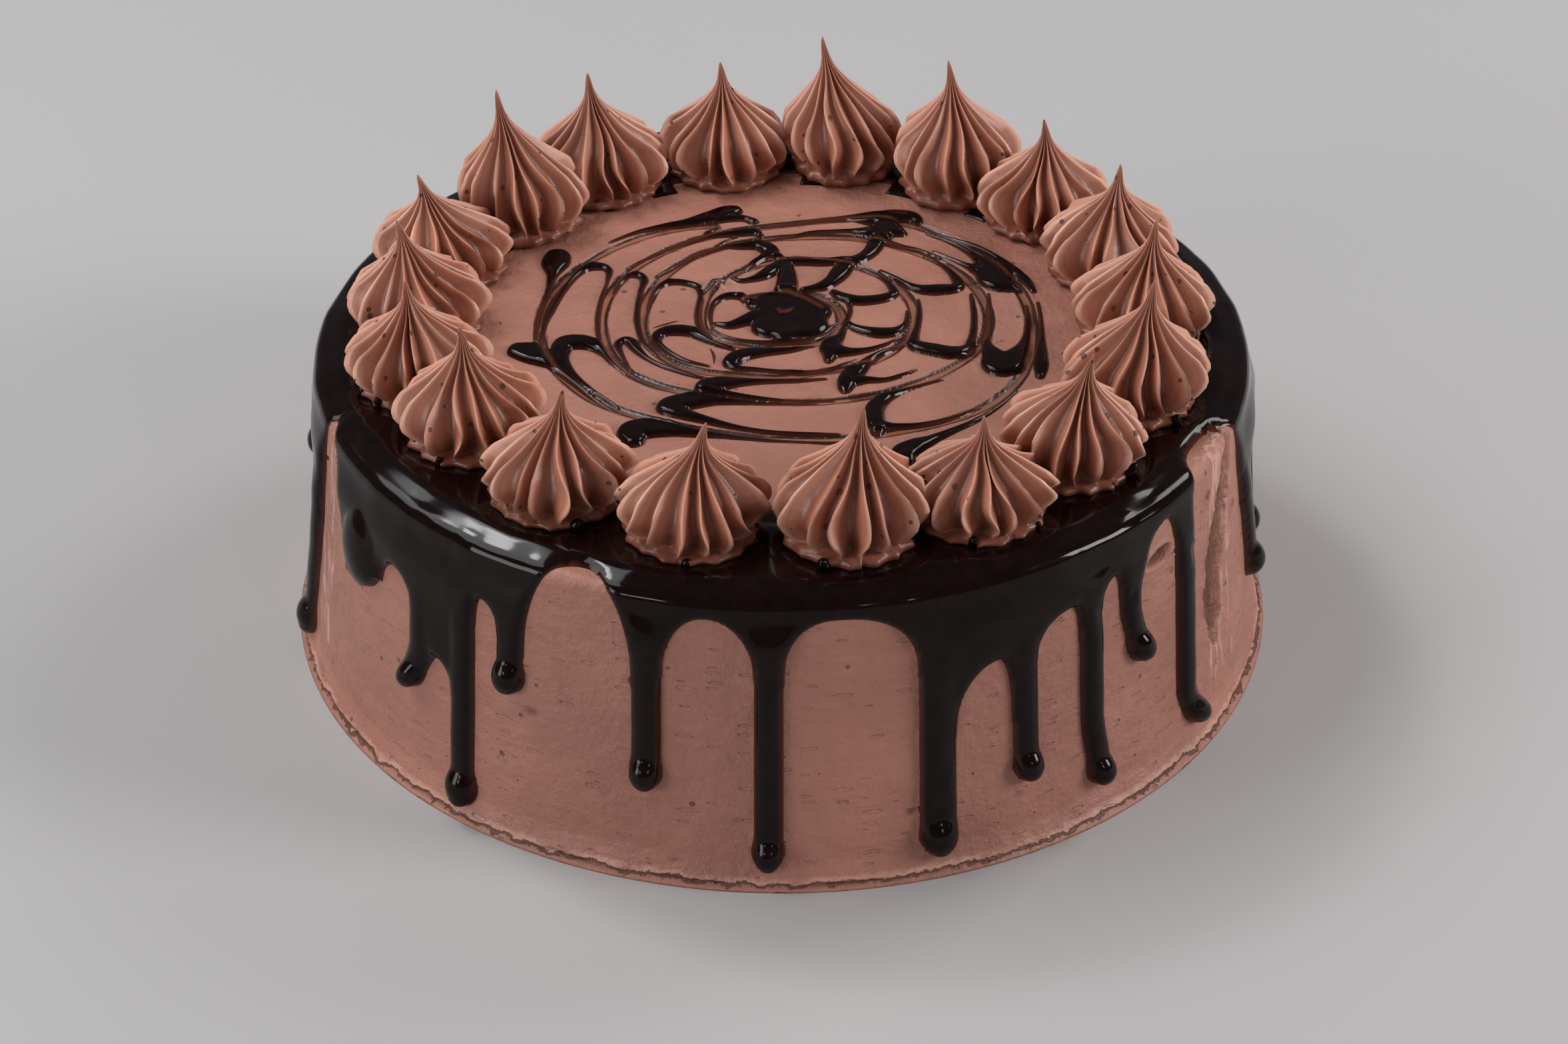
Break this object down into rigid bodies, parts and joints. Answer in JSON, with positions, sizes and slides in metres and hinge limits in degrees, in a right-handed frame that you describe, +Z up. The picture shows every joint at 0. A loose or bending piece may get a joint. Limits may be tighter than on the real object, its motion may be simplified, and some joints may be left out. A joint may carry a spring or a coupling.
{
  "type": "chocolate drip cake",
  "caption": "Round frosted chocolate cake with a dark ganache collar and drips, a feathered web on top and a ring of piped peaks.",
  "frame": {"origin": "centre of the flat base, on the surface that the cake stands on", "axes": "+Z up; -Y is the side that faces the viewer in the picture, +X to that viewer's right"},
  "size_m": [0.23, 0.23, 0.1043],
  "materials": {
    "frosting": "smooth chocolate buttercream with fine spatula marks",
    "piped_frosting": "piped chocolate buttercream, soft satin, with small air pits",
    "ganache": "set dark ganache, glossy"
  },
  "bodies": {
    "root": {"cake": "frosting", "ganache": "ganache", "piped_peak_01": "piped_frosting", "piped_peak_02": "piped_frosting", "piped_peak_03": "piped_frosting", "piped_peak_04": "piped_frosting", "piped_peak_05": "piped_frosting", "piped_peak_06": "piped_frosting", "piped_peak_07": "piped_frosting", "piped_peak_08": "piped_frosting", "piped_peak_09": "piped_frosting", "piped_peak_10": "piped_frosting", "piped_peak_11": "piped_frosting", "piped_peak_12": "piped_frosting", "piped_peak_13": "piped_frosting", "piped_peak_14": "piped_frosting", "piped_peak_15": "piped_frosting", "piped_peak_16": "piped_frosting", "piped_peak_17": "piped_frosting", "piped_peak_18": "piped_frosting"}
  },
  "joints": []
}
